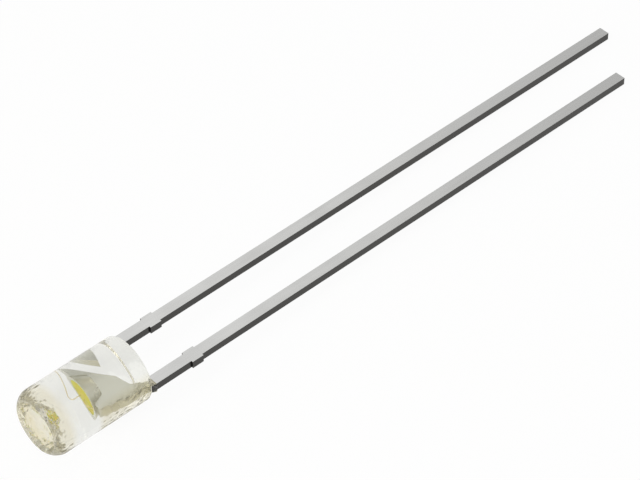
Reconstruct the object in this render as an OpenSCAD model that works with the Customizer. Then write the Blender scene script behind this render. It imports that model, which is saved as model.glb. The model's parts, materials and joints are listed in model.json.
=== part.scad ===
// Through-hole LED, 3 mm class: a clear cylindrical body with a bowl-shaped hollow in its front,
// and two stamped leads.
// Every shape is drawn in the LED's own axes: X runs along the body towards its front, the two leads
// lie beside each other along Y, and the origin is the middle of the body's base. rest_pose() then
// tips the whole LED to the way it lies on a table, on the rim of its base and its two lead tips.

/* [Leads] */
// Distance between the middles of the two leads
lead_pitch = 2.54; // [2.4:0.02:2.6]
// Width of a lead
lead_w = 0.5; // [0.4:0.05:0.55]
// Thickness of the strip that the leads are stamped from
lead_t = 0.35; // [0.3:0.05:0.5]
// Length of the anode lead behind the body
anode_len = 28.3; // [24:0.1:32]
// Length of the cathode lead behind the body
cathode_len = 26.6; // [22:0.1:31]

/* [Stand-off tabs] */
// Distance from the body to the tabs that stop the leads in a board
tab_gap = 1.9; // [1:0.1:3]
// Length of a tab along its lead
tab_len = 0.55; // [0.3:0.05:1]
// How far a tab stands out from each side of its lead
tab_out = 0.08; // [0.05:0.01:0.2]

/* [Clear body] */
// Diameter of the body
body_d = 2.9; // [2.8:0.05:3.2]
// Length of the body from its base to the crest of the lip round its front
body_len = 4.62; // [4.4:0.02:5]
// Radius of the rounding between the wall and that lip
front_edge_r = 0.65; // [0.5:0.05:0.75]
// Diameter of the lip, measured at its crest
lip_d = 2.3; // [2.1:0.05:2.3]
// Radius of the lip's crest
lip_r = 0.06; // [0.04:0.01:0.08]
// Radius of the bowl-shaped hollow inside the lip
hollow_r = 1.15; // [1.15:0.05:1.5]
// Radius of the rounding round the base
base_edge_r = 0.12; // [0.05:0.01:0.2]

/* [Ears round the leads] */
// Thickness of clear resin round a lead where it leaves the base
ear_wall = 0.07; // [0.04:0.01:0.1]
// How far the resin climbs down a lead behind the base
ear_drop = 0.12; // [0.05:0.01:0.2]

/* [Metal inside the body] */
// Least thickness of resin beside the buried metal
resin_cover = 0.14; // [0.1:0.01:0.2]
// Distance from the base to where a lead starts to step inwards
step_x = 0.06; // [0.02:0.02:0.1]
// Length over which it steps inwards
step_len = 0.25; // [0.2:0.05:0.35]
// Distance from the base to the foot of the anvil's sloping edge
anvil_foot_x = 0.72; // [0.6:0.02:0.8]
// Distance of that foot from the body's middle line
anvil_foot_y = 0.68; // [0.56:0.02:0.84]
// Distance from the base to the bend in the sloping edge
anvil_bend_x = 0.98; // [0.9:0.02:1.1]
// Distance of that bend from the body's middle line
anvil_bend_y = 0.13; // [0.05:0.01:0.25]
// Distance from the base to the anvil's top edge, above which the cup stands out
anvil_top_x = 2.4; // [2.2:0.05:2.4]
// Width of the anvil's top edge
anvil_top_w = 1.74; // [1.5:0.02:1.8]
// Distance from the base to where the anvil's outer side starts to slope in
anvil_side_x = 1.15; // [0.95:0.05:1.3]
// Distance from the base to the top of the anode post
post_top_x = 2.3; // [2.2:0.05:2.4]
// Width of the flat top of the post
post_top_w = 0.16; // [0.12:0.01:0.2]
// Clear width between the post's side and the anvil's sloping edge
side_gap = 0.47; // [0.4:0.01:0.55]
// Distance of the post's inner corner from the body's middle line
post_corner_y = 0.52; // [0.45:0.01:0.7]
// Width of the post's neck below that corner
post_neck_w = 0.36; // [0.3:0.02:0.5]

/* [Reflector cup] */
// Distance from the base to the rim of the cup
cup_rim_x = 2.5; // [2.4:0.05:2.65]
// Diameter of the cup's mouth
cup_mouth_d = 1; // [0.9:0.02:1.05]
// Diameter of the cup's floor
cup_floor_d = 0.6; // [0.5:0.02:0.7]
// Depth of the cup
cup_depth = 0.3; // [0.26:0.02:0.34]
// Width of the flat rim round the mouth
cup_rim_w = 0.13; // [0.1:0.01:0.15]
// Outer diameter of the cup at its foot
cup_foot_d = 0.86; // [0.8:0.02:1]
// Distance from the cup's rim down to its foot
cup_height = 0.6; // [0.55:0.05:0.7]

/* [Chip, glue and phosphor] */
// Side of the square chip
chip_w = 0.32; // [0.24:0.02:0.34]
// Thickness of the chip
chip_t = 0.1; // [0.08:0.01:0.13]
// Thickness of the glue under the chip
glue_t = 0.02; // [0.01:0.005:0.03]
// How far the glue shows round the chip
glue_out = 0.02; // [0.01:0.005:0.03]
// Height of the phosphor's crown above the cup's rim
phosphor_crown = 0.05; // [0.03:0.01:0.08]

/* [Bond wires] */
// Diameter of the wires
wire_d = 0.03; // [0.026:0.002:0.04]
// Diameter of the ball that joins a wire to the chip
ball_d = 0.08; // [0.06:0.005:0.09]
// Height of that ball
ball_h = 0.03; // [0.02:0.005:0.04]
// Distance of each ball from the middle of the chip
ball_y = 0.09; // [0.06:0.01:0.11]
// Radius of the bend over the ball
wire_bend_r = 0.12; // [0.08:0.01:0.14]
// Height of the anode wire's bend above the cup's rim
anode_wire_rise = 0.5; // [0.44:0.02:0.6]
// Height of the cathode wire's bend above the cup's rim
cathode_wire_rise = 0.16; // [0.12:0.02:0.26]
// Length of the flattened foot of a wire
foot_len = 0.07; // [0.05:0.01:0.08]
// Thickness of that foot
foot_t = 0.014; // [0.01:0.002:0.02]

/* [Hidden] */
$fn = 64;

// Leads
lead_y = lead_pitch / 2;
lead_outer_y = lead_y + lead_w / 2;
lead_inner_y = lead_y - lead_w / 2;

// Body
body_r = body_d / 2;

// Front of the body: the lip's round crest touches the rounding outside it and the bowl inside it
lip_centre = [lip_d / 2, body_len - lip_r];
edge_arm = front_edge_r - lip_r; // from the middle of the rounding to the middle of the crest
edge_centre_x = body_r - front_edge_r;
edge_centre = [
    edge_centre_x,
    lip_centre.y - sqrt(pow(edge_arm, 2) - pow(lip_centre.x - edge_centre_x, 2))
];
hollow_centre = [0, lip_centre.y + sqrt(pow(hollow_r + lip_r, 2) - pow(lip_centre.x, 2))];

// The buried metal stays this far from the middle line, so that resin covers its corners
buried_y = sqrt(pow(body_r - resin_cover, 2) - pow(lead_t / 2, 2));

// Cup and what is in it
cup_mouth_r = cup_mouth_d / 2;
cup_outer_r = cup_mouth_r + cup_rim_w;
cup_floor_x = cup_rim_x - cup_depth;
chip_top_x = cup_floor_x + glue_t + chip_t;
crown_flat_r = cup_mouth_r / 2;
crown_r = (pow(cup_mouth_r - crown_flat_r, 2) + pow(phosphor_crown, 2)) / (2 * phosphor_crown);

// The anvil's sloping edge, from its bend to the corner of its top edge
anvil_bend = [anvil_bend_x, anvil_bend_y];
anvil_corner = [anvil_top_x, -anvil_top_w / 2];
slope = (anvil_corner - anvil_bend) / norm(anvil_corner - anvil_bend);
slope_out = [slope.y, -slope.x]; // points from the anvil to the post

// Sides of a wire, and steps round its bend
wire_sides = 10;
bend_steps = 8;

// Post
post_top_y = buried_y - post_top_w;
post_corner_x = anvil_bend.x
    + (side_gap - slope_out.y * (-post_corner_y - anvil_bend.y)) / slope_out.x;
post_foot_y = (post_top_y + buried_y) / 2;

// How the LED lies: the tips tilt it by rest_tilt, and the longer lead rolls it by rest_roll.
// The body rests on the rounding of its base, and each lead on one lower corner of its tip.
roll_share = (anode_len - cathode_len) / lead_pitch;
tip_arm = cathode_len + roll_share * lead_pitch / 2 + abs(roll_share) * lead_w / 2;
function rest_slope(guess, turns) =
    turns == 0 ? guess : rest_slope(
        (body_r - base_edge_r + base_edge_r * (sqrt(1 + guess * guess) - guess)
            - lead_t / 2 * sqrt(1 - pow(roll_share * guess, 2))) / tip_arm,
        turns - 1
    );
rest_tan = rest_slope(0, 8);
rest_tilt = atan(rest_tan);
rest_roll = -asin(roll_share * rest_tan);

module rest_pose() {
    rotate([rest_roll, -rest_tilt, 0]) children();
}

// Turns a shape drawn upright along Z so that it stands along X
module along_x(x) {
    translate([x, 0, 0]) rotate([90, 0, 90]) children();
}

// A flat shape in the plane of the leads, as thick as their strip
module strip() {
    translate([0, 0, -lead_t / 2]) linear_extrude(lead_t) children();
}

// The straight part of a lead behind the body, with its tab. side is 1 for the cathode
module lead_outline(side, len) {
    translate([-len, side * lead_y - lead_w / 2]) square([len + step_x, lead_w]);
    translate([-tab_gap - tab_len, side * lead_y - lead_w / 2 - tab_out])
        square([tab_len, lead_w + 2 * tab_out]);
}

module anvil_outline() {
    polygon([
        [step_x, lead_inner_y],
        [step_x, lead_outer_y],
        [step_x + step_len, buried_y],
        [anvil_side_x, buried_y],
        [anvil_top_x, anvil_top_w / 2],
        anvil_corner,
        anvil_bend,
        [anvil_foot_x, anvil_foot_y]
    ]);
}

module post_outline() {
    polygon([
        [step_x, -lead_inner_y],
        [step_x, -lead_outer_y],
        [step_x + step_len, -buried_y],
        [post_top_x, -buried_y],
        [post_top_x, -post_top_y],
        [post_corner_x, -post_corner_y],
        [post_corner_x - step_len, post_neck_w - buried_y]
    ]);
}

module cup_space() {
    along_x(cup_floor_x) cylinder(h = cup_depth, d1 = cup_floor_d, d2 = cup_mouth_d);
}

module cathode_metal() {
    difference() {
        union() {
            strip() {
                lead_outline(1, cathode_len);
                anvil_outline();
            }
            along_x(cup_rim_x - cup_height)
                cylinder(h = cup_height, d1 = cup_foot_d, r2 = cup_outer_r);
        }
        cup_space();
    }
}

module anode_metal() {
    strip() {
        lead_outline(-1, anode_len);
        post_outline();
    }
}

module chip_shape() {
    translate([cup_floor_x + glue_t, -chip_w / 2, -chip_w / 2]) cube([chip_t, chip_w, chip_w]);
}

module glue_shape() {
    glue_w = chip_w + 2 * glue_out;
    translate([cup_floor_x, -glue_w / 2, -glue_w / 2]) cube([glue_t, glue_w, glue_w]);
}

// The middle line of a wire, in the plane of the leads: up from its ball, round a bend, and
// straight down to its foot
function wire_line(ball, foot, rise) =
    let (
        side = sign(foot.y - ball.y),
        bend = [cup_rim_x + rise - wire_bend_r, ball.y + side * wire_bend_r],
        reach = [side * (foot.y - bend.y), foot.x - bend.x],
        leave = atan2(reach.y, reach.x) + acos(wire_bend_r / norm(reach)),
        turn = (180 - leave) / bend_steps
    ) [
        ball + [ball_h / 2, 0],
        for (i = [0:bend_steps]) bend + wire_bend_r * [sin(i * turn), -side * cos(i * turn)],
        foot
    ];

// A round wire swept along a line of points in the plane of the leads
module swept_wire(line) {
    last = len(line) - 1;
    rings = [
        for (i = [0:last])
            let (
                along = line[min(i + 1, last)] - line[max(i - 1, 0)],
                across = [-along.y, along.x] / norm(along)
            )
            for (j = [0:wire_sides - 1])
                let (a = 360 * j / wire_sides, out = wire_d / 2 * cos(a) * across)
                [line[i].x + out.x, line[i].y + out.y, wire_d / 2 * sin(a)]
    ];
    polyhedron(rings, [
        [for (j = [0:wire_sides - 1]) j],
        for (i = [0:last - 1], j = [0:wire_sides - 1])
            let (a = i * wire_sides + j, b = i * wire_sides + (j + 1) % wire_sides)
            [a, a + wire_sides, b + wire_sides, b],
        [for (j = [wire_sides - 1:-1:0]) last * wire_sides + j]
    ]);
}

// A gold wire with the ball that joins it to the chip and the flattened foot on the metal.
// ball and foot are where its two ends meet the chip and the metal.
module bond_wire(ball, foot, rise) {
    along_x(ball.x) translate([ball.y, 0, 0]) cylinder(h = ball_h, d = ball_d);
    difference() {
        swept_wire(wire_line(ball, foot, rise));
        translate([foot.x - wire_d, foot.y - foot_len, -wire_d])
            cube([wire_d, 2 * foot_len, 2 * wire_d]);
    }
    translate([foot.x, foot.y - foot_len / 2, -wire_d]) cube([foot_t, foot_len, 2 * wire_d]);
}

module anode_wire_shape() {
    bond_wire([chip_top_x, -ball_y], [post_top_x, -post_foot_y], anode_wire_rise);
}

module cathode_wire_shape() {
    bond_wire([chip_top_x, ball_y], [cup_rim_x, cup_mouth_r + cup_rim_w / 2], cathode_wire_rise);
}

// The phosphor fills the cup and stands a little proud of its rim, flat in the middle where the
// wires come out and round towards the rim
module phosphor_space() {
    cup_slope = (cup_mouth_d - cup_floor_d) / 2 / cup_depth;
    along_x(cup_floor_x) rotate_extrude() intersection() {
        polygon([
            [0, 0],
            [cup_floor_d / 2, 0],
            [cup_floor_d / 2 + 2 * cup_depth * cup_slope, 2 * cup_depth],
            [0, 2 * cup_depth]
        ]);
        union() {
            square([crown_flat_r, cup_depth + phosphor_crown]);
            translate([crown_flat_r, cup_depth + phosphor_crown - crown_r]) circle(crown_r);
        }
    }
}

// Half of the body's section, drawn with its base on the X axis and its middle line on the Y axis
module body_section() {
    difference() {
        union() {
            translate([0, base_edge_r]) square([body_r, edge_centre.y - base_edge_r]);
            square([body_r - base_edge_r, body_len / 2]);
            translate([0, body_len / 2]) square([edge_centre.x, body_len / 2]);
            translate([body_r - base_edge_r, base_edge_r]) circle(base_edge_r);
            intersection() {
                translate(edge_centre) circle(front_edge_r);
                translate([0, body_len / 2]) square(body_len);
            }
        }
        translate(hollow_centre) circle(hollow_r);
        lip_cut();
    }
}

// What comes off the sharp edge between the rounding and the bowl to leave the lip's round crest
module lip_cut() {
    to_edge = (lip_centre - edge_centre) / edge_arm;
    to_hollow = (hollow_centre - lip_centre) / (hollow_r + lip_r);
    difference() {
        polygon([
            lip_centre,
            lip_centre + to_edge,
            lip_centre + to_edge + to_hollow,
            lip_centre + to_hollow
        ]);
        translate(lip_centre) circle(lip_r);
    }
}

// A rectangle round the origin with rounded corners
module soft_square(size, r) {
    square([size.x - 2 * r, size.y], center = true);
    square([size.x, size.y - 2 * r], center = true);
    for (x = [-1, 1], y = [-1, 1])
        translate([x * (size.x / 2 - r), y * (size.y / 2 - r)]) circle(r);
}

// Clear resin round the cathode lead where it leaves the base. The lead's outer side passes the
// body's wall there, and the resin follows it as it steps inwards.
module ear() {
    size = [ear_drop + step_x + step_len, lead_w + 2 * ear_wall, lead_t + 2 * ear_wall];
    middle = [size.x / 2 - ear_drop, lead_y, 0];
    outer_y = lead_outer_y + ear_wall;
    intersection() {
        translate(middle) rotate([90, 0, 90])
            linear_extrude(size.x, center = true) soft_square([size.y, size.z], ear_wall);
        translate(middle) rotate([90, 0, 0])
            linear_extrude(size.y, center = true) soft_square([size.x, size.z], ear_wall);
        translate(middle)
            linear_extrude(size.z, center = true) soft_square([size.x, size.y], ear_wall);
        linear_extrude(size.z, center = true) polygon([
            [-ear_drop, 0],
            [-ear_drop, outer_y],
            [step_x, outer_y],
            [step_x + step_len, buried_y + ear_wall],
            [step_x + step_len, 0]
        ]);
    }
}

module clear_body() {
    color([0.93, 0.92, 0.84, 0.4]) rest_pose() difference() {
        union() {
            along_x(0) rotate_extrude() body_section();
            for (side = [0, 1]) mirror([0, side, 0]) ear();
        }
        cathode_metal();
        anode_metal();
        phosphor_space();
        anode_wire_shape();
        cathode_wire_shape();
    }
}

module cathode_lead() {
    color([0.78, 0.78, 0.78]) rest_pose() cathode_metal();
}

module anode_lead() {
    color([0.78, 0.78, 0.78]) rest_pose() anode_metal();
}

module led_chip() {
    color([0.55, 0.62, 0.72]) rest_pose() chip_shape();
}

module chip_glue() {
    color([0.9, 0.9, 0.88]) rest_pose() glue_shape();
}

module phosphor() {
    color([0.85, 0.8, 0.15]) rest_pose() difference() {
        phosphor_space();
        chip_shape();
        glue_shape();
        anode_wire_shape();
        cathode_wire_shape();
    }
}

module anode_wire() {
    color([0.85, 0.68, 0.3]) rest_pose() anode_wire_shape();
}

module cathode_wire() {
    color([0.85, 0.68, 0.3]) rest_pose() cathode_wire_shape();
}

clear_body();
cathode_lead();
anode_lead();
led_chip();
chip_glue();
phosphor();
anode_wire();
cathode_wire();
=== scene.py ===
import json
import math
import bmesh
import bpy
from mathutils import Matrix, Vector


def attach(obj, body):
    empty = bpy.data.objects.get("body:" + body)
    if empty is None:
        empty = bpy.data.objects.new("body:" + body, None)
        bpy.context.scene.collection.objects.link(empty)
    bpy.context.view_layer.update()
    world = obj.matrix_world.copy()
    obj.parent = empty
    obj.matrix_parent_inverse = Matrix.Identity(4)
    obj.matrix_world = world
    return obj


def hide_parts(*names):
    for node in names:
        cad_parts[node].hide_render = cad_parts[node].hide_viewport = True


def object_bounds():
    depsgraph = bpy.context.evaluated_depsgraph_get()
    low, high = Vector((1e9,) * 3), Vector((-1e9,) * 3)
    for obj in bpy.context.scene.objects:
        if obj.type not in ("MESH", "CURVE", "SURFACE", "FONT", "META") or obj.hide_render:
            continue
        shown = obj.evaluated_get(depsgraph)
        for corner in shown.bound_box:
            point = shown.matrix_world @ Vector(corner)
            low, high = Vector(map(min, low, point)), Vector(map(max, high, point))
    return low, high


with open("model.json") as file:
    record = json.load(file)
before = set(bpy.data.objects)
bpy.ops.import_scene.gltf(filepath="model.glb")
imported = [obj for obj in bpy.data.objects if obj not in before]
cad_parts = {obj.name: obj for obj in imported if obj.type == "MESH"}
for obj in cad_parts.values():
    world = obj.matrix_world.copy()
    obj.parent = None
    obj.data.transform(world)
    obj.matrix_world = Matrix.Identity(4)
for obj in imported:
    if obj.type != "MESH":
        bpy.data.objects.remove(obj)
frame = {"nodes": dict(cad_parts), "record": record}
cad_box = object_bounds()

# ---- Leads -------------------------------------------------------------------------------------
# Two flat pins stamped out of rolled and tin plated steel strip by a progressive die. Each has a
# stand-off tab, and the cathode's carries the anvil and the cup inside the resin. The CAD solids
# have these shapes.
MM = 0.001
mounts = {m["name"]: m for m in frame["record"]["mounts"]}
led_x = Vector(mounts["body_wall"]["axis"]).normalized()
led_y = Vector(mounts["cathode_lead_end"]["pos_m"]) - Vector(mounts["anode_lead_end"]["pos_m"])
led_y = (led_y - led_y.dot(led_x) * led_x).normalized()
led_z = led_x.cross(led_y)
# The LED's own axes: X along the body to its front, Y from the anode to the cathode
led_turn = Matrix((led_x, led_y, led_z)).transposed()


def linear(hex_colour):
    """The linear colour, with alpha 1, of an sRGB hex value."""
    parts = [int(hex_colour[i : i + 2], 16) / 255 for i in (1, 3, 5)]
    return [c / 12.92 if c <= 0.04045 else ((c + 0.055) / 1.055) ** 2.4 for c in parts] + [1]


def add_node(tree, kind, values=None, links=None, **settings):
    """A new node with its settings, its inputs' values and the outputs linked to its inputs."""
    node = tree.nodes.new(kind)
    for name, value in settings.items():
        setattr(node, name, value)
    for name, value in (values or {}).items():
        node.inputs[name].default_value = value
    for name, output in (links or {}).items():
        tree.links.new(output, node.inputs[name])
    return node


MIX_A, MIX_B = 6, 7  # the two colours of a Mix node, among its inputs of every data type


def new_material(name):
    """A material with an empty node tree, and that tree."""
    material = bpy.data.materials.new(name)
    material.use_nodes = True
    material.node_tree.nodes.clear()
    return material, material.node_tree


def made_of(material, *pieces):
    """The CAD solids of those names are made of this material alone."""
    for piece in pieces:
        frame["nodes"][piece].data.materials.clear()
        frame["nodes"][piece].data.materials.append(material)


# Rolled, tin plated steel strip: a soft white mirror with faint lines along it. It was plated
# before it was stamped, so the sheared edges are bare steel, but they are painted far darker than
# steel, as painted shade on the faces that turn away from the strip's plane. Real rolling lines
# are too fine to show, and are drawn 0.12 mm wide.
roll_line_len, roll_line_w, roll_line_depth = 4 * MM, 0.12 * MM, 0.004 * MM
patch_size = 1.6 * MM
resin_from = 0.1 * MM  # past this, along the LED from its base, a lead is inside the resin
edge_lean = 0.7  # a face is an edge where less of its normal than this points out of the strip
tin_light, tin_dark = linear("#DEDEDC"), linear("#D0D0CE")
# The edge colour is bare steel painted far darker, as painted shade
silver_flash, bare_steel_and_painted_shade = linear("#D8D7CA"), linear("#454442")
strip_dullness = {"From Min": 0.3, "From Max": 0.7, "To Min": 0.2, "To Max": 0.3}
tin, tree = new_material("tin_plated_steel_strip")
coords = add_node(tree, "ShaderNodeTexCoord")
# Turned so that the lines follow the leads, and stretched along them
along_leads = add_node(
    tree,
    "ShaderNodeMapping",
    {"Rotation": led_turn.transposed().to_euler()},
    {"Vector": coords.outputs["Object"]},
)
roll_lines = add_node(
    tree,
    "ShaderNodeMapping",
    {"Scale": (1 / roll_line_len, 1 / roll_line_w, 1 / roll_line_w)},
    {"Vector": along_leads.outputs[0]},
)
lines = add_node(
    tree,
    "ShaderNodeTexNoise",
    {"Scale": 1, "Detail": 3, "Roughness": 0.6},
    {"Vector": roll_lines.outputs[0]},
)
# Cloudy patches, where the plate is a little duller
patches = add_node(
    tree,
    "ShaderNodeTexNoise",
    {"Scale": 1 / patch_size, "Detail": 2},
    {"Vector": along_leads.outputs[0]},
)
tin_colour = add_node(
    tree,
    "ShaderNodeMix",
    {MIX_A: tin_dark, MIX_B: tin_light},
    {"Factor": lines.outputs[0]},
    data_type="RGBA",
)
# The sheared edges are the faces that don't lie in the strip's plane, outside the resin; their
# dark colour is painted shade over bare steel
normal_z = add_node(
    tree,
    "ShaderNodeVectorMath",
    {1: led_z},
    {0: coords.outputs["Normal"]},
    operation="DOT_PRODUCT",
)
flatness = add_node(
    tree, "ShaderNodeMath", {}, {0: normal_z.outputs["Value"]}, operation="ABSOLUTE"
)
edge_face = add_node(
    tree, "ShaderNodeMath", {1: edge_lean}, {0: flatness.outputs[0]}, operation="LESS_THAN"
)
apart = add_node(tree, "ShaderNodeSeparateXYZ", {}, {0: along_leads.outputs[0]})
outside = add_node(
    tree, "ShaderNodeMath", {1: resin_from}, {0: apart.outputs["X"]}, operation="LESS_THAN"
)
bare_and_shaded_edge = add_node(
    tree,
    "ShaderNodeMath",
    {},
    {0: edge_face.outputs[0], 1: outside.outputs[0]},
    operation="MULTIPLY",
)
# Inside the resin a flash of silver lies over the tin and makes it a little warmer
plating = add_node(
    tree,
    "ShaderNodeMix",
    {MIX_A: silver_flash},
    {"Factor": outside.outputs[0], MIX_B: tin_colour.outputs[2]},
    data_type="RGBA",
)
# Painted shade: outside the resin the sheared edges take the dark edge colour
lead_colour = add_node(
    tree,
    "ShaderNodeMix",
    {MIX_B: bare_steel_and_painted_shade},
    {"Factor": bare_and_shaded_edge.outputs[0], MIX_A: plating.outputs[2]},
    data_type="RGBA",
)
dullness = add_node(tree, "ShaderNodeMapRange", strip_dullness, {"Value": patches.outputs[0]})
line_relief = add_node(
    tree,
    "ShaderNodeBump",
    {"Strength": 0.15, "Distance": roll_line_depth},
    {"Height": lines.outputs[0]},
)
shader = add_node(
    tree,
    "ShaderNodeBsdfPrincipled",
    {"Metallic": 1},
    {
        "Base Color": lead_colour.outputs[2],
        "Roughness": dullness.outputs[0],
        "Normal": line_relief.outputs[0],
    },
)
add_node(tree, "ShaderNodeOutputMaterial", {}, {"Surface": shader.outputs[0]})
made_of(tin, "cathode_lead", "anode_lead")

# ---- Chip and its glue -------------------------------------------------------------------------
# A square blue light-emitting crystal grown on sapphire, sawn and polished, and set in the cup
# with a drop of white epoxy glue. Both lie under the phosphor. The CAD solids have these shapes.


def faintly_mottled(name, spot, dark, light, finish):
    """A material whose colour varies a little, from dark to light, in spots of that size."""
    material, tree = new_material(name)
    coords = add_node(tree, "ShaderNodeTexCoord")
    spots = add_node(
        tree, "ShaderNodeTexNoise", {"Scale": 1 / spot}, {"Vector": coords.outputs["Object"]}
    )
    tint = add_node(
        tree,
        "ShaderNodeMix",
        {MIX_A: linear(dark), MIX_B: linear(light)},
        {"Factor": spots.outputs[0]},
        data_type="RGBA",
    )
    shader = add_node(
        tree, "ShaderNodeBsdfPrincipled", finish, {"Base Color": tint.outputs[2]}
    )
    add_node(tree, "ShaderNodeOutputMaterial", {}, {"Surface": shader.outputs[0]})
    return material


# Polished sapphire: glassy and grey-blue. Its polishing marks are too fine to show, and are drawn
# as spots of 0.05 mm.
polished = {"Roughness": 0.15, "IOR": 1.77}
sapphire = faintly_mottled("polished_sapphire_chip", 0.05 * MM, "#8798AE", "#A6B4C4", polished)
made_of(sapphire, "led_chip")

# Cured white epoxy: a satin off-white. Its filler grains are too fine to show, and are drawn as
# spots of 0.04 mm.
satin = {"Roughness": 0.4}
die_glue = faintly_mottled("white_die_bond_epoxy", 0.04 * MM, "#DEDDD8", "#EAE9E4", satin)
made_of(die_glue, "chip_glue")

# ---- Phosphor ----------------------------------------------------------------------------------
# Yellow phosphor powder stirred into silicone, dropped into the cup over the chip and cured. It
# stands a little proud of the cup's rim. The CAD solid has this shape.

# Powder in clear silicone: a bright, soft yellow, as light spreads a little inside it. Real
# grains are 0.015 mm across, and are drawn three times as coarse so that they show.
grain_size, grain_depth = 0.045 * MM, 0.01 * MM
light_spread = 0.1 * MM
phosphor_mix, tree = new_material("yellow_phosphor_in_silicone")
coords = add_node(tree, "ShaderNodeTexCoord")
grains = add_node(
    tree,
    "ShaderNodeTexNoise",
    {"Scale": 1 / grain_size, "Detail": 2},
    {"Vector": coords.outputs["Object"]},
)
tint = add_node(
    tree,
    "ShaderNodeMix",
    {MIX_A: linear("#DACE3C"), MIX_B: linear("#EFE665")},
    {"Factor": grains.outputs[0]},
    data_type="RGBA",
)
relief = add_node(
    tree,
    "ShaderNodeBump",
    {"Strength": 0.3, "Distance": grain_depth},
    {"Height": grains.outputs[0]},
)
shader = add_node(
    tree,
    "ShaderNodeBsdfPrincipled",
    {"Roughness": 0.45, "IOR": 1.42, "Subsurface Weight": 0.3, "Subsurface Scale": light_spread},
    {"Base Color": tint.outputs[2], "Normal": relief.outputs[0]},
)
add_node(tree, "ShaderNodeOutputMaterial", {}, {"Surface": shader.outputs[0]})
made_of(phosphor_mix, "phosphor")

# ---- Bond wires --------------------------------------------------------------------------------
# Two gold wires 0.03 mm thick, each welded to the chip by a melted ball and pressed flat at its
# other end, on the anode post and on the cup's rim. The CAD solids have these shapes.

# Gold pulled through a die: a fine, pale and warm glint. Its die marks are too fine to show, and
# are drawn as spots of 0.02 mm.
drawn ={"Metallic": 1, "Roughness": 0.2}
gold = faintly_mottled("drawn_gold_wire", 0.02 * MM, "#E6D8B2", "#F2E8CA", drawn)
made_of(gold, "anode_wire", "cathode_wire")

# ---- Clear body --------------------------------------------------------------------------------
# A cylinder of clear epoxy, cast upside down in a polished mould with the leads hanging in it. A
# bowl inside a narrow lip at its front throws the light sideways. Resin climbs the leads a little
# at the base, as an ear round each. It is one solid, so the metal simply stands inside it.

# The section is drawn in millimetres in the LED's own axes, from the middle of the base
body_r, body_len, base_edge_r = 1.45, 4.62, 0.12
front_edge_r, lip_r, lip_y, hollow_r = 0.65, 0.06, 1.15, 1.15
edge_y = body_r - front_edge_r
lip_centre = Vector((body_len - lip_r, lip_y, 0))
edge_x = lip_centre.x - math.sqrt((front_edge_r - lip_r) ** 2 - (lip_y - edge_y) ** 2)
edge_centre = Vector((edge_x, edge_y, 0))
hollow_x = lip_centre.x + math.sqrt((hollow_r + lip_r) ** 2 - lip_y**2)
hollow_centre = Vector((hollow_x, 0, 0))
to_lip, to_hollow = lip_centre - edge_centre, hollow_centre - lip_centre
lip_angle, hollow_angle = math.atan2(to_lip.y, to_lip.x), math.atan2(to_hollow.y, to_hollow.x)
section = bmesh.new()


def line_to(vert, place):
    """The end of a straight line drawn from that vertex."""
    end = section.verts.new(place)
    section.edges.new((vert, end))
    return end


def arc(vert, centre, turn, steps):
    """The end of an arc drawn from that vertex."""
    swept = bmesh.ops.spin(
        section,
        geom=[vert],
        cent=centre,
        axis=(0, 0, 1),
        dvec=(0, 0, 0),
        angle=turn,
        steps=steps,
    )
    return next(item for item in swept["geom_last"] if isinstance(item, bmesh.types.BMVert))


# Half of it is one line from the middle of the base to the bottom of the bowl, which is then spun
# into the solid. Two rings divide the plain wall.
wall_rings = (0.6, 2.3)
pen = section.verts.new((0, 0, 0))
pen = line_to(pen, (0, body_r - base_edge_r, 0))
pen = arc(pen, (base_edge_r, body_r - base_edge_r, 0), -math.pi / 2, steps=10)
for ring_x in (*wall_rings, edge_x):
    pen = line_to(pen, (ring_x, body_r, 0))
pen = arc(pen, edge_centre, lip_angle - math.pi / 2, steps=20)
pen = arc(pen, lip_centre, hollow_angle - lip_angle, steps=14)
pen = arc(pen, hollow_centre, -hollow_angle, steps=40)
bmesh.ops.spin(
    section,
    geom=section.verts[:] + section.edges[:],
    cent=(0, 0, 0),
    axis=(1, 0, 0),
    dvec=(0, 0, 0),
    angle=2 * math.pi,
    steps=160,
    use_merge=True,
)
bmesh.ops.remove_doubles(section, verts=section.verts, dist=1e-5)
bmesh.ops.recalc_face_normals(section, faces=section.faces)
body_mesh = bpy.data.meshes.new("clear_epoxy_body")
section.to_mesh(body_mesh)
section.free()
body = bpy.data.objects.new("clear_epoxy_body", body_mesh)
bpy.context.scene.collection.objects.link(body)

# The ears: a block round each lead, with soft edges, cut back where the lead steps inwards
lead_place, lead_w, lead_t = 1.27, 0.5, 0.35
step_start, step_len, buried_reach = 0.06, 0.25, 1.298
ear_wall, ear_drop, ear_edge_r = 0.07, 0.12, 0.06
ear_len = ear_drop + step_start + step_len
ear_size = Vector((ear_len, lead_w + 2 * ear_wall, lead_t + 2 * ear_wall))
ears = bmesh.new()
for side in (1, -1):
    middle = Vector((ear_size.x / 2 - ear_drop, side * lead_place, 0))
    place = Matrix.Translation(middle) @ Matrix.Diagonal(ear_size).to_4x4()
    corners = bmesh.ops.create_cube(ears, size=1, matrix=place)["verts"]
    for corner in corners:
        if corner.co.x > 0 and abs(corner.co.y) > lead_place:
            corner.co.y = side * (buried_reach + ear_wall)
    bmesh.ops.bevel(
        ears,
        geom=list({edge for corner in corners for edge in corner.link_edges}),
        offset=ear_edge_r,
        offset_type="OFFSET",
        affect="EDGES",
        segments=4,
        profile=0.5,
        material=-1,
    )
bmesh.ops.recalc_face_normals(ears, faces=ears.faces)
ear_mesh = bpy.data.meshes.new("ears")
ears.to_mesh(ear_mesh)
ears.free()
ear_piece = bpy.data.objects.new("ears", ear_mesh)
bpy.context.scene.collection.objects.link(ear_piece)

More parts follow.
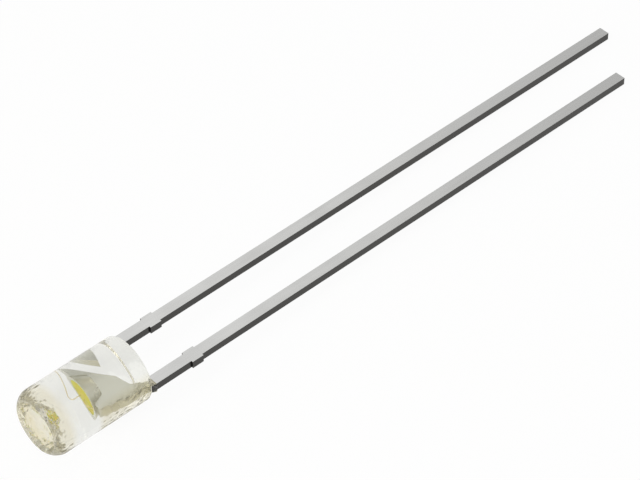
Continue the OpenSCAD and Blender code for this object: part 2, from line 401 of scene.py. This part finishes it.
# Body and ears become one mesh, which then gets its place and size in metres
join = body.modifiers.new("ears", "BOOLEAN")
join.operation = "UNION"
join.solver = "EXACT"
join.object = ear_piece
joined = bpy.data.meshes.new_from_object(body.evaluated_get(bpy.context.evaluated_depsgraph_get()))
body.modifiers.clear()
body.data = joined
joined.name = "clear_epoxy_body"
bpy.data.objects.remove(ear_piece)
joined.transform(led_turn.to_4x4() @ Matrix.Scale(MM, 4))
joined.shade_smooth()
joined.set_sharp_from_angle(angle=math.radians(30))

# Clear epoxy, cast against a polished mould: glassy with a slow ripple, and very slightly yellow
# where it is thick. The skin is pitted and hazy in the bowl, and low beside the anvil up to the
# base, where the resin shrinks as it cures. There it is also painted yellow, as painted light for
# the phosphor's yellow light spread through the resin.
ripple_size, ripple_depth = 0.9 * MM, 0.02 * MM
pit_size, pit_depth = 0.3 * MM, 0.09 * MM
# The second skin colour is painted yellow light, laid on the pitted places
clean_skin, painted_yellow_light = linear("#F1F2F0"), linear("#E9E2C8")
haze_range = {"To Min": 0.02, "To Max": 0.22}
# Where the pits and the painted yellow light start and where they are full, in the LED's own axes:
# along the body towards its front and towards its base, and out to the low side
bowl_span = {"From Min": 3.65 * MM, "From Max": 4 * MM}
base_span = {"From Min": 2.7 * MM, "From Max": 2.4 * MM}
low_span = {"From Min": 0.5 * MM, "From Max": 0.9 * MM}
low_way = (0, 0.8, -0.6)
epoxy, tree = new_material("clear_cast_epoxy")
coords = add_node(tree, "ShaderNodeTexCoord")
ripple = add_node(
    tree,
    "ShaderNodeTexNoise",
    {"Scale": 1 / ripple_size, "Detail": 1},
    {"Vector": coords.outputs["Object"]},
)
relief = add_node(
    tree,
    "ShaderNodeBump",
    {"Strength": 0.2, "Distance": ripple_depth},
    {"Height": ripple.outputs[0]},
)
along_body = add_node(
    tree,
    "ShaderNodeMapping",
    {"Rotation": led_turn.transposed().to_euler()},
    {"Vector": coords.outputs["Object"]},
)
apart = add_node(tree, "ShaderNodeSeparateXYZ", {}, {0: along_body.outputs[0]})
in_bowl = add_node(tree, "ShaderNodeMapRange", bowl_span, {"Value": apart.outputs["X"]})
to_base = add_node(tree, "ShaderNodeMapRange", base_span, {"Value": apart.outputs["X"]})
low_reach = add_node(
    tree,
    "ShaderNodeVectorMath",
    {1: low_way},
    {0: along_body.outputs[0]},
    operation="DOT_PRODUCT",
)
on_low_side = add_node(
    tree, "ShaderNodeMapRange", low_span, {"Value": low_reach.outputs["Value"]}
)
beside_anvil = add_node(
    tree,
    "ShaderNodeMath",
    {},
    {0: to_base.outputs[0], 1: on_low_side.outputs[0]},
    operation="MULTIPLY",
)
pits_and_painted_light = add_node(
    tree,
    "ShaderNodeMath",
    {},
    {0: in_bowl.outputs[0], 1: beside_anvil.outputs[0]},
    operation="MAXIMUM",
)
pits = add_node(
    tree,
    "ShaderNodeTexNoise",
    {"Scale": 1 / pit_size, "Detail": 1},
    {"Vector": coords.outputs["Object"]},
)
pitting = add_node(
    tree,
    "ShaderNodeBump",
    {"Distance": pit_depth},
    {"Strength": pits_and_painted_light.outputs[0], "Height": pits.outputs[0], "Normal": relief.outputs[0]},
)
haze = add_node(tree, "ShaderNodeMapRange", haze_range, {"Value": pits_and_painted_light.outputs[0]})
# Painted light: where pitted, the skin is painted yellow for the phosphor's light in the resin
skin_tint = add_node(
    tree,
    "ShaderNodeMix",
    {MIX_A: clean_skin, MIX_B: painted_yellow_light},
    {"Factor": pits_and_painted_light.outputs[0]},
    data_type="RGBA",
)
shader = add_node(
    tree,
    "ShaderNodeBsdfPrincipled",
    {"IOR": 1.53, "Transmission Weight": 1},
    {
        "Base Color": skin_tint.outputs[2],
        "Roughness": haze.outputs[0],
        "Normal": pitting.outputs[0],
    },
)
# Light from the lamps goes straight through it, as through clear glass, with a pale shadow
path = add_node(tree, "ShaderNodeLightPath")
through = add_node(tree, "ShaderNodeBsdfTransparent", {"Color": linear("#EFEEE8")})
lit = add_node(
    tree,
    "ShaderNodeMixShader",
    {},
    {0: path.outputs["Is Shadow Ray"], 1: shader.outputs[0], 2: through.outputs[0]},
)
depth_tint = add_node(
    tree, "ShaderNodeVolumeAbsorption", {"Color": linear("#C9C3A8"), "Density": 60}
)
add_node(
    tree,
    "ShaderNodeOutputMaterial",
    {},
    {"Surface": lit.outputs[0], "Volume": depth_tint.outputs[0]},
)
joined.materials.append(epoxy)
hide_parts("clear_body")
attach(body, "root")

# ---- Table -------------------------------------------------------------------------------------
# A sheet of matt white card that the LED lies on, not part of it. The camera sees it as nearly
# white with a soft shadow, and so do the metal and the resin.
card_top, card_half_width = cad_box[0][2], 2
floor_mesh = bpy.data.meshes.new("white_card")
card = bmesh.new()
bmesh.ops.create_grid(card, x_segments=1, y_segments=1, size=card_half_width)
bmesh.ops.translate(card, verts=card.verts, vec=(0, 0, card_top))
card.to_mesh(floor_mesh)
card.free()
floor = bpy.data.objects.new("white_card", floor_mesh)
bpy.context.scene.collection.objects.link(floor)

# Uncoated card: plain matt white. What is seen of it is mostly its own white, and the rest is
# the light that falls on it, which keeps the shadow.
own_white = 0.93
card_white, tree = new_material("matt_white_card")
diffuse = add_node(tree, "ShaderNodeBsdfDiffuse", {"Color": linear("#F4F4F2")})
glow = add_node(tree, "ShaderNodeEmission", {"Strength": 1})
path = add_node(tree, "ShaderNodeLightPath")
seen = path.outputs["Is Camera Ray"]
for ray in ("Is Glossy Ray", "Is Transmission Ray"):
    seen = add_node(
        tree, "ShaderNodeMath", {}, {0: seen, 1: path.outputs[ray]}, operation="MAXIMUM"
    ).outputs[0]
share = add_node(tree, "ShaderNodeMath", {1: own_white}, {0: seen}, operation="MULTIPLY")
mixed = add_node(
    tree,
    "ShaderNodeMixShader",
    {},
    {0: share.outputs[0], 1: diffuse.outputs[0], 2: glow.outputs[0]},
)
add_node(tree, "ShaderNodeOutputMaterial", {}, {"Surface": mixed.outputs[0]})
floor_mesh.materials.append(card_white)

# ---- Light and camera --------------------------------------------------------------------------
# Soft studio light: a white room, a large softbox over the LED and a smaller one beside it, and a
# long lens at the photograph's viewing angle.

# The white room is dimmer at its ceiling, which the post mirrors, and for the metal also at its
# end behind the lead tips, which shades the leads towards their tips. Each dims between two
# values of the direction looked in, 1 being straight up or straight along X.
dim_ceiling = {"From Min": 0.78, "From Max": 0.92, "To Min": 1, "To Max": 0.45}
dim_end = {"From Min": -0.7, "From Max": -0.48, "To Min": 0.4}
room_light = {"To Min": 0.5}  # on dull surfaces
world = bpy.data.worlds.new("white_room")
bpy.context.scene.world = world
world.use_nodes = True
tree = world.node_tree
tree.nodes.clear()
path = add_node(tree, "ShaderNodeLightPath")
seen = add_node(
    tree,
    "ShaderNodeMath",
    {},
    {0: path.outputs["Is Camera Ray"], 1: path.outputs["Is Transmission Ray"]},
    operation="MAXIMUM",
)
coords = add_node(tree, "ShaderNodeTexCoord")
apart = add_node(tree, "ShaderNodeSeparateXYZ", {}, {0: coords.outputs["Generated"]})
ceiling = add_node(tree, "ShaderNodeMapRange", dim_ceiling, {"Value": apart.outputs["Z"]})
mirrored = add_node(
    tree,
    "ShaderNodeMapRange",
    dim_end,
    {"Value": apart.outputs["X"], "To Max": ceiling.outputs[0]},
)
unseen = add_node(
    tree,
    "ShaderNodeMapRange",
    room_light,
    {"Value": path.outputs["Is Glossy Ray"], "To Max": mirrored.outputs[0]},
)
strength = add_node(
    tree,
    "ShaderNodeMapRange",
    {},
    {"Value": seen.outputs[0], "To Min": unseen.outputs[0], "To Max": ceiling.outputs[0]},
)
background = add_node(
    tree, "ShaderNodeBackground", {"Color": (1, 1, 1, 1)}, {"Strength": strength.outputs[0]}
)
add_node(tree, "ShaderNodeOutputWorld", {}, {"Surface": background.outputs[0]})


def softbox(name, place, aim, width, watts):
    """A square soft lamp at place, turned to aim, in millimetres."""
    data = bpy.data.lights.new(name, "AREA")
    data.size = width * MM
    data.energy = watts
    lamp = bpy.data.objects.new(name, data)
    lamp.visible_glossy = False  # the white room is all that the tin mirrors
    place, aim = Vector(place), Vector(aim)
    turn = (aim - place).to_track_quat("-Z", "Y").to_matrix()
    lamp.matrix_world = Matrix.Translation(place * MM) @ turn.to_4x4()
    bpy.context.scene.collection.objects.link(lamp)


softbox("overhead_softbox", (50, 20, 150), (-8, 0, 0), width=150, watts=0.15)
softbox("side_softbox", (90, -110, 90), (0, 0, 0), width=90, watts=0.02)

# The camera's place in millimetres, and the picture's right and up, in the LED's own axes
camera_place = Vector((43.31, 58.47, 77.33))
picture_right, picture_up = Vector((-0.736, 0.6769, -0.0036)), Vector((-0.4742, -0.5117, 0.7165))
camera_data = bpy.data.cameras.new("camera")
camera_data.lens = 153.03
camera_data.sensor_width = 36
camera_data.clip_start = 0.005
camera = bpy.data.objects.new("camera", camera_data)
right, up = led_turn @ picture_right, led_turn @ picture_up
camera_turn = Matrix((right, up, right.cross(up))).transposed()
camera.matrix_world = Matrix.Translation(led_turn @ camera_place * MM) @ camera_turn.to_4x4()
bpy.context.scene.collection.objects.link(camera)
bpy.context.scene.camera = camera
bpy.context.scene.view_settings.view_transform = "Standard"
# Light runs round inside the resin off its walls many times before it leaves
resin_bounces = 32
for limit in ("max_bounces", "glossy_bounces", "transmission_bounces"):
    setattr(bpy.context.scene.cycles, limit, resin_bounces)
